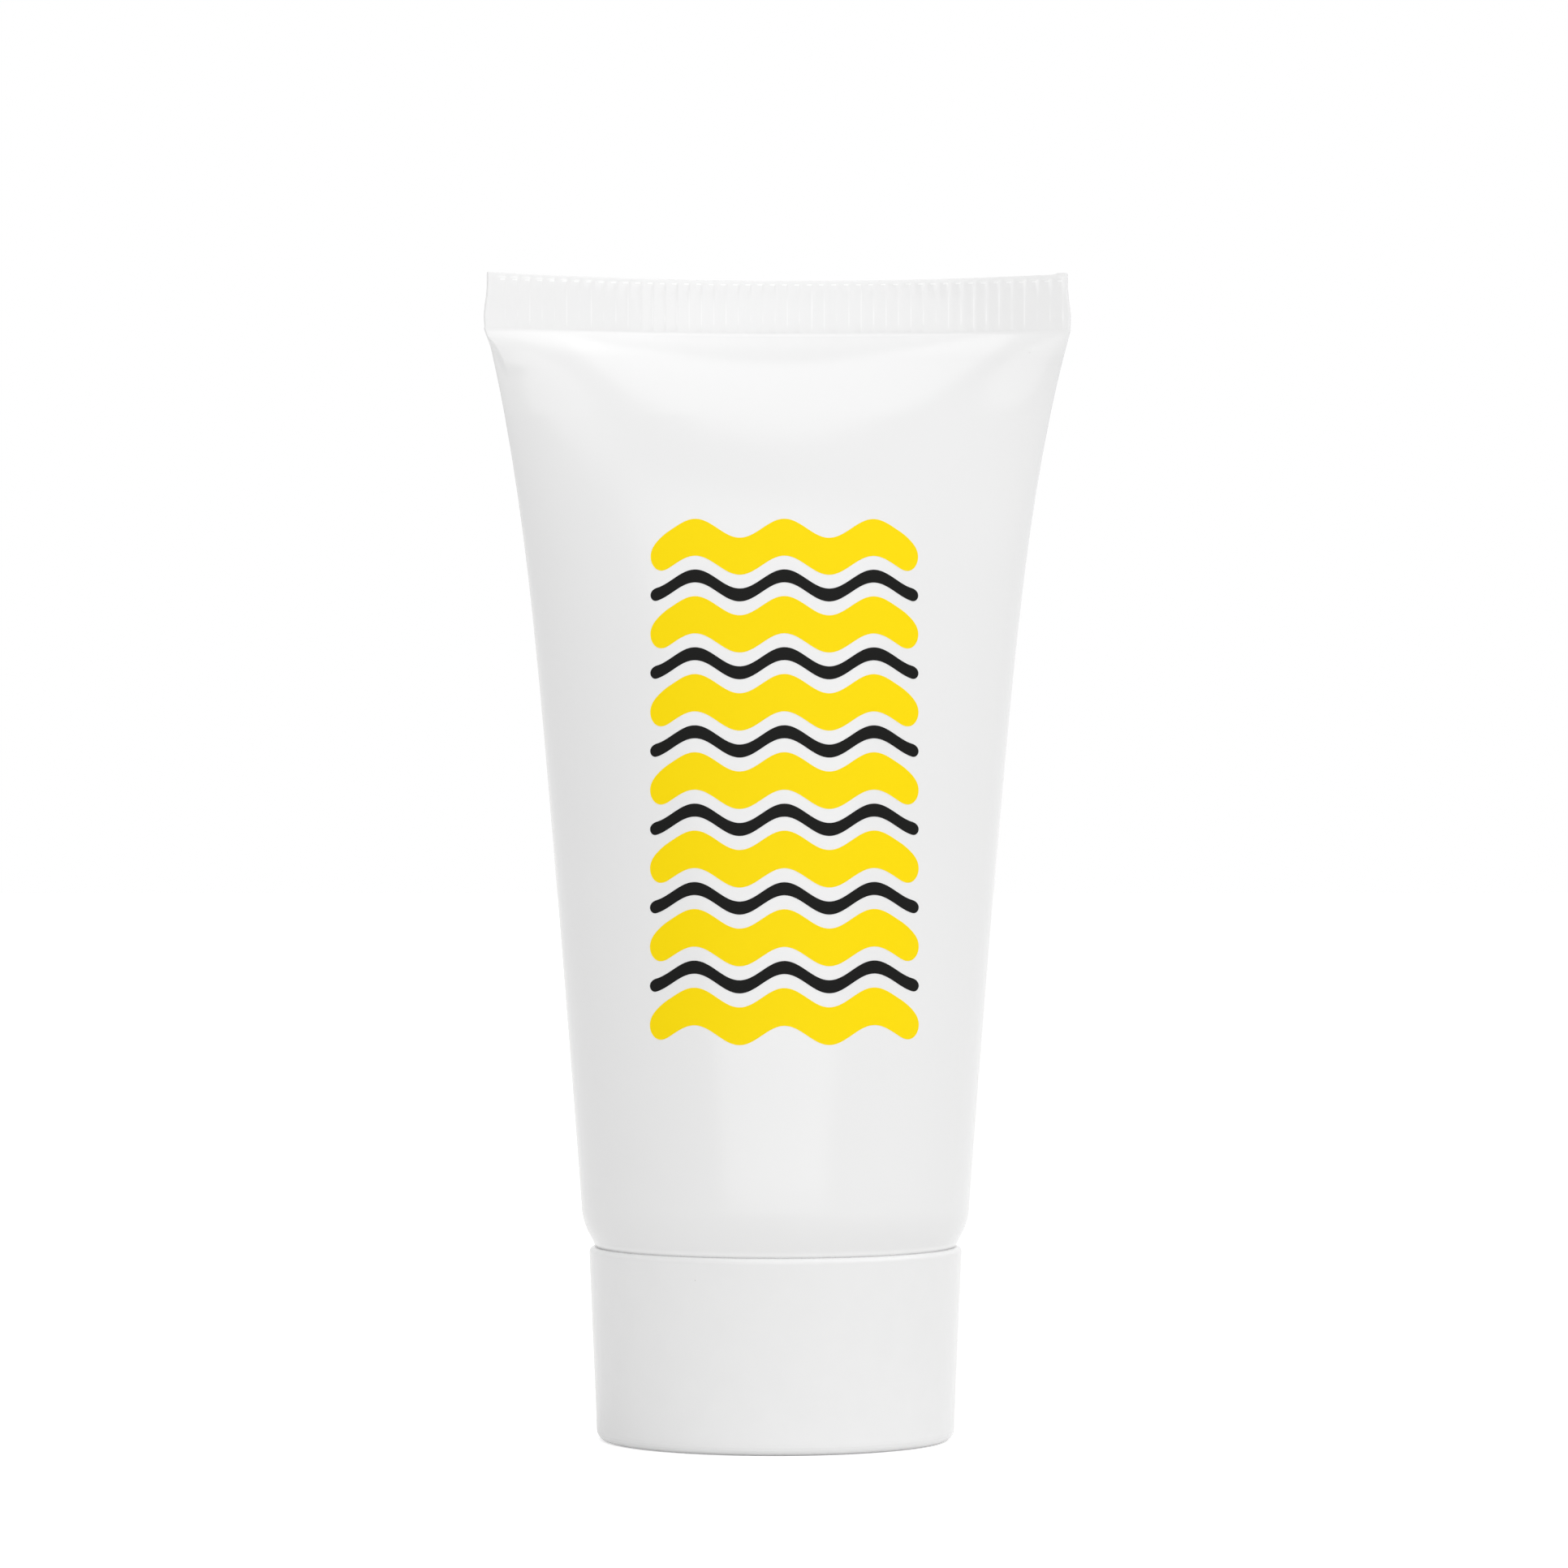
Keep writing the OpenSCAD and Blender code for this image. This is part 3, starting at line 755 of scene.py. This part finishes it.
def wave_tree():
    """Waved bands with round ends, one above the other, laid on the front of the sleeve."""
    tree, given = geometry_tree("Printed waves", {
        "Start": "Geometry",
        "Sleeve": "Object",
        "Lowest band": "Vector",
        "Bands": "Int",
        "Pitch": "Float",
        "Band height": "Float",
        "Half width": "Float",
        "Wave length": "Float",
        "Wave rise": "Float",
        "Film": "Float",
        "Ink": "Material",
    }, "Print")
    strip = add(tree, "GeometryNodeMeshGrid", [2.0, 1.0, band_columns, band_rows]).outputs["Mesh"]
    spot = add(tree, "ShaderNodeSeparateXYZ", [add(tree, "GeometryNodeInputPosition")]).outputs
    marked = strip
    for label, value in (("along", spot["X"]), ("up", spot["Y"])):
        marked = add(
            tree, "GeometryNodeStoreNamedAttribute",
            {"Geometry": marked, "Name": label, "Value": value}, data_type="FLOAT", domain="POINT",
        )
    nowhere = add(tree, "ShaderNodeCombineXYZ")
    flat = add(tree, "GeometryNodeSetPosition", {"Geometry": marked, "Position": nowhere})
    step = add(tree, "ShaderNodeCombineXYZ", {"Z": given["Pitch"]})
    starts = add(tree, "GeometryNodeMeshLine", {
        "Count": given["Bands"], "Start Location": given["Lowest band"], "Offset": step}, mode="OFFSET")
    bands = add(tree, "GeometryNodeInstanceOnPoints", {"Points": starts, "Instance": flat})
    whole = add(tree, "GeometryNodeRealizeInstances", {"Geometry": bands})

    # Along a band, whose points crowd towards its round ends
    along = add(tree, "GeometryNodeInputNamedAttribute", ["along"], data_type="FLOAT")
    up = add(tree, "GeometryNodeInputNamedAttribute", ["up"], data_type="FLOAT")
    quarter = add(tree, "ShaderNodeMath", [along, math.pi / 2], operation="MULTIPLY")
    share = add(tree, "ShaderNodeMath", [quarter], operation="SINE")
    aside = add(tree, "ShaderNodeMath", [share, given["Half width"]], operation="MULTIPLY")
    away = add(tree, "ShaderNodeMath", [aside], operation="ABSOLUTE")
    from_end = add(tree, "ShaderNodeMath", [given["Half width"], away], operation="SUBTRACT")
    end_r = add(tree, "ShaderNodeMath", [given["Band height"], 0.5], operation="MULTIPLY")
    into_end = add(tree, "ShaderNodeMath", [from_end, end_r], operation="DIVIDE")
    lack = add(tree, "ShaderNodeMath", [1.0, into_end], operation="SUBTRACT", use_clamp=True)
    square = add(tree, "ShaderNodeMath", [lack, lack], operation="MULTIPLY")
    left = add(tree, "ShaderNodeMath", [1.0, square], operation="SUBTRACT", use_clamp=True)
    full = add(tree, "ShaderNodeMath", [left], operation="SQRT")
    tall = add(tree, "ShaderNodeMath", [full, given["Band height"]], operation="MULTIPLY")
    raised = add(tree, "ShaderNodeMath", [tall, up], operation="MULTIPLY")
    turns = add(tree, "ShaderNodeMath", [aside, given["Wave length"]], operation="DIVIDE")
    angle = add(tree, "ShaderNodeMath", [turns, math.tau], operation="MULTIPLY")
    wave = add(tree, "ShaderNodeMath", [angle], operation="COSINE")
    lifted = add(tree, "ShaderNodeMath", [wave, given["Wave rise"], raised], operation="MULTIPLY_ADD")
    moved = add(tree, "ShaderNodeCombineXYZ", {"X": aside, "Z": lifted})
    shaped = add(tree, "GeometryNodeSetPosition", {"Geometry": whole, "Offset": moved})

    # Back onto the sleeve, where the film gets its thickness and its closed back
    target = add(tree, "GeometryNodeObjectInfo", [given["Sleeve"]]).outputs["Geometry"]
    hit = add(tree, "GeometryNodeRaycast", {
        "Target Geometry": target, "Ray Direction": (0, 1, 0), "Ray Length": 1.0}).outputs
    laid = add(tree, "GeometryNodeSetPosition", {"Geometry": shaped, "Position": hit["Hit Position"]})
    back = add(tree, "GeometryNodeMergeByDistance", {"Geometry": laid, "Distance": 0.001 * mm})
    printed = add(tree, "GeometryNodeExtrudeMesh", {
        "Mesh": back, "Offset Scale": given["Film"], "Individual": False}).outputs["Mesh"]
    both = add(tree, "GeometryNodeJoinGeometry")
    for part in (printed, add(tree, "GeometryNodeFlipFaces", [back]).outputs[0]):
        tree.links.new(part, both.inputs[0])
    closed = add(tree, "GeometryNodeMergeByDistance", {"Geometry": both, "Distance": 0.001 * mm})
    smooth = add(tree, "GeometryNodeSetShadeSmooth", {"Geometry": closed})
    bent = add(tree, "GeometryNodeInputMeshEdgeAngle").outputs["Unsigned Angle"]
    corner = add(tree, "FunctionNodeCompare", {0: bent, 1: 0.5}, operation="GREATER_THAN")
    sharp = add(tree, "GeometryNodeSetShadeSmooth", {
        "Geometry": smooth, "Selection": corner, "Shade Smooth": False}, domain="EDGE")
    real = add(tree, "GeometryNodeRealizeInstances", {"Geometry": sharp})
    finished = add(tree, "GeometryNodeSetMaterial", {"Geometry": real, "Material": given["Ink"]})
    add(tree, "NodeGroupOutput", [finished])
    return tree


def screen_ink(name, full, thin, roughness):
    # UV-cured screen ink: dense and even, with a soft gloss. The screen leaves a faint grid of
    # dimples, which is drawn at 0.25 mm, twice its real pitch, so that it shows at all.
    material, tree, place = finish_of(name)
    threads = {"Vector": place, "Scale": wave_scale(ink_mesh_pitch)}
    rows, columns = (
        add(tree, "ShaderNodeTexWave", threads, bands_direction=way).outputs["Fac"] for way in "ZX")
    grid = add(tree, "ShaderNodeMath", [rows, columns], operation="MULTIPLY")
    relief = add(tree, "ShaderNodeBump", {"Strength": 0.12, "Distance": 0.01 * mm, "Height": grid})
    cover = add(tree, "ShaderNodeTexNoise", {"Vector": place, "Scale": 1 / (3 * mm), "Detail": 3.0})
    # Its matt face mirrors far less than bare resin, hence the low IOR
    shader = add(tree, "ShaderNodeBsdfPrincipled", {
        "Base Color": add(tree, "ShaderNodeMix", {0: cover, 6: full, 7: thin}, data_type="RGBA"),
        "Roughness": roughness,
        "IOR": 1.2,
        "Normal": relief,
    })
    add(tree, "ShaderNodeOutputMaterial", {"Surface": shader})
    return material


waves = wave_tree()
yellow_ink = screen_ink("Screen ink, cured, warm yellow", "#FFDF00", "#FFE006", 0.5)
black_ink = screen_ink("Screen ink, cured, soft black", "#121211", "#151514", 0.55)
lowest_z = print_z - (yellow_bands - 1) / 2 * wave_pitch
for name, bands, first_z, height, ink in (
    ("print_yellow_waves", yellow_bands, lowest_z, yellow_height, yellow_ink),
    ("print_black_waves", yellow_bands - 1, lowest_z + wave_pitch / 2, black_height, black_ink),
):
    film = made_by(name, bpy.data.meshes.new(name), [(waves, {
        "Sleeve": sleeve,
        "Lowest band": (print_x * mm, -tube_r * 3 * mm, first_z * mm),
        "Bands": bands,
        "Pitch": wave_pitch * mm,
        "Band height": height * mm,
        "Half width": print_half * mm,
        "Wave length": wave_length * mm,
        "Wave rise": wave_rise * mm,
        "Film": ink_film * mm,
        "Ink": ink,
    })])
    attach(film, "tube")

# The lotion is filled in from the open end of the sleeve before it is crimped. It fills the neck
# and stands up to seven tenths of the sleeve, with a softly domed top.

lotion_room = wall + 0.16
# The inside of the head, which the lotion fills
head_wall = 1.3
nozzle_r = 2.5
bore_r = 5.3
neck_r = bore_r + head_wall
skin_room = 0.08
shoulder_fall = math.radians(18)
plate_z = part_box("head")[0].z / mm
fill_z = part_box("lotion")[1].z / mm
inner_foot_r = foot_r - wall - skin_room
rim_turn = math.asin((round_z - foot_z) / inner_foot_r)
bond = math.radians(18)
bonded_turn = rim_turn - bond
shoulder_r = tube_r - foot_r + inner_foot_r * math.cos(rim_turn)
neck_top = foot_z - (shoulder_r - neck_r) * math.tan(shoulder_fall)
fill_steps = 24
dome_h = 0.9
dome_steps = 8
lotion_columns = 144


def lotion_rings():
    """From the nozzle up through the neck, over the shoulder and up the sleeve."""
    above_plate = plate_z + head_wall + skin_room
    over_neck = neck_top + head_wall + skin_room
    rings = [ring(z, r - skin_room, r - skin_room) for z, r in (
        (plate_z + skin_room, skin_room), (plate_z + skin_room, nozzle_r), (above_plate, nozzle_r),
        (above_plate, bore_r), (over_neck, bore_r),
    )]
    for i in range(foot_steps + 1):
        rings.append(foot_ring(bonded_turn * (1 - i / foot_steps), lotion_room))
    full_s = (fill_z - round_z) / (crimp_z - round_z)
    for i in range(1, fill_steps + 1):
        rings.append(body_ring(full_s * i / fill_steps, lotion_room))
    for i in range(1, dome_steps + 1):
        angle = math.pi / 2 * i / dome_steps
        share = math.cos(angle)
        rings.append(ring(
            fill_z - dome_h * (1 - math.sin(angle)),
            (width_at(full_s) - lotion_room) * share, (depth_at(full_s) - lotion_room) * share,
            bend=(bow_at(full_s) * share, turn_at(full_s), 0.0),
        ))
    return rings


def sun_lotion():
    # A thick oil-in-water cream: warm white, wet-glossy and a little see-through at thin edges.
    material, tree, place = finish_of("Sun lotion, oil-in-water cream")
    folds = add(tree, "ShaderNodeTexNoise", {"Vector": place, "Scale": 1 / (9 * mm), "Detail": 2.0})
    relief = add(tree, "ShaderNodeBump", {"Strength": 0.4, "Distance": 0.6 * mm, "Height": folds})
    shader = add(tree, "ShaderNodeBsdfPrincipled", {
        "Base Color": add(tree, "ShaderNodeMix", {0: folds, 6: "#F3F0E6", 7: "#F6F4EC"}, data_type="RGBA"),
        "Roughness": 0.22,
        "IOR": 1.38,
        "Subsurface Weight": 0.5,
        "Subsurface Scale": 2 * mm,
        "Normal": relief,
    })
    add(tree, "ShaderNodeOutputMaterial", {"Surface": shader})
    return material


lotion = made_by("lotion_fill", ring_points("lotion_fill", lotion_rings()), [
    (skin, {"Points round": lotion_columns, "Material": sun_lotion()}),
])
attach(lotion, "tube")
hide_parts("lotion")

# The floor is a sweep of plain white paper that the tube stands on. It stays white all round the
# tube and only keeps its soft shadow.

floor_half = 3.0
floor_glow = 0.5
mirrored_glow = 0.25


def white_paper():
    # Uncoated white paper: matt, with a barely seen cloudiness of its fibres.
    material, tree, place = finish_of("White paper sweep")
    fibre = add(tree, "ShaderNodeTexNoise", {"Vector": place, "Scale": 1 / (2 * mm), "Detail": 3.0})
    tint = add(tree, "ShaderNodeMix", {0: fibre, 6: "#F4F4F4", 7: "#F7F7F7"}, data_type="RGBA")
    lit = add(tree, "ShaderNodeBsdfDiffuse", {"Color": tint})
    # It shows white to the camera, and glows half as much for what mirrors it
    rays = add(tree, "ShaderNodeLightPath").outputs
    mirrored = add(tree, "ShaderNodeMath", [rays["Is Glossy Ray"], mirrored_glow], operation="MULTIPLY")
    lift = add(
        tree, "ShaderNodeMath", [rays["Is Camera Ray"], floor_glow, mirrored], operation="MULTIPLY_ADD")
    glow = add(tree, "ShaderNodeEmission", {"Color": "#FFFFFF", "Strength": lift})
    both = add(tree, "ShaderNodeAddShader", [lit, glow])
    add(tree, "ShaderNodeOutputMaterial", {"Surface": both})
    return material


floor_mesh = bpy.data.meshes.new("paper_floor")
floor_mesh.from_pydata(
    [(x * floor_half, y * floor_half, 0) for x, y in ((-1, -1), (1, -1), (1, 1), (-1, 1))],
    [], [(0, 1, 2, 3)],
)
floor_mesh.materials.append(white_paper())
floor = bpy.data.objects.new("paper_floor", floor_mesh)
scene.collection.objects.link(floor)

# The camera stands where the photograph was taken from: level, in front of the tube, and about
# 60 cm away with a long lens.

camera_away = 603
camera_height = 59.0
camera_aside = 0.76
camera_lens = 153.7
camera_sensor = 36
camera_data = bpy.data.cameras.new("camera")
camera_data.sensor_width = camera_sensor
camera_data.lens = camera_lens
camera_data.clip_start = 0.01
camera = bpy.data.objects.new("camera", camera_data)
camera.location = (camera_aside * mm, -camera_away * mm, camera_height * mm)
camera.rotation_euler = (math.pi / 2, 0, 0)
scene.collection.objects.link(camera)
scene.camera = camera

# The light is a white room, brighter in front, above and to the right of the tube. The room is
# plain white where it is seen, mirrored or looked at through glass, and dimmer as a light.

room_light = 0.57
world = bpy.data.worlds.new("white_room")
world.use_nodes = True
scene.world = world
room = world.node_tree
room.nodes.clear()
rays = add(room, "ShaderNodeLightPath").outputs
seen = add(room, "ShaderNodeMath", [rays["Is Camera Ray"], rays["Is Glossy Ray"]], operation="MAXIMUM")
direct = add(room, "ShaderNodeMath", [seen, rays["Is Transmission Ray"]], operation="MAXIMUM")
soft = add(room, "ShaderNodeBackground", {"Color": "#FFFFFF", "Strength": room_light})
plain = add(room, "ShaderNodeBackground", {"Color": "#FFFFFF", "Strength": 1.0})
mixed = add(room, "ShaderNodeMixShader", [direct, soft, plain])
add(room, "ShaderNodeOutputWorld", {"Surface": mixed})


def soft_light(name, aside, up, spread, strength):
    """An even, soft light from aside degrees right of the camera and up degrees over the floor."""
    data = bpy.data.lights.new(name, "SUN")
    data.angle = math.radians(spread)
    data.energy = strength
    lamp = bpy.data.objects.new(name, data)
    lamp.rotation_euler = (math.radians(90 - up), 0, math.radians(aside))
    scene.collection.objects.link(lamp)


soft_light("front", aside=0, up=10, spread=60, strength=0.74)
soft_light("overhead", aside=0, up=75, spread=40, strength=0.48)
soft_light("side", aside=80, up=45, spread=60, strength=0.66)

scene.view_settings.view_transform = "Standard"
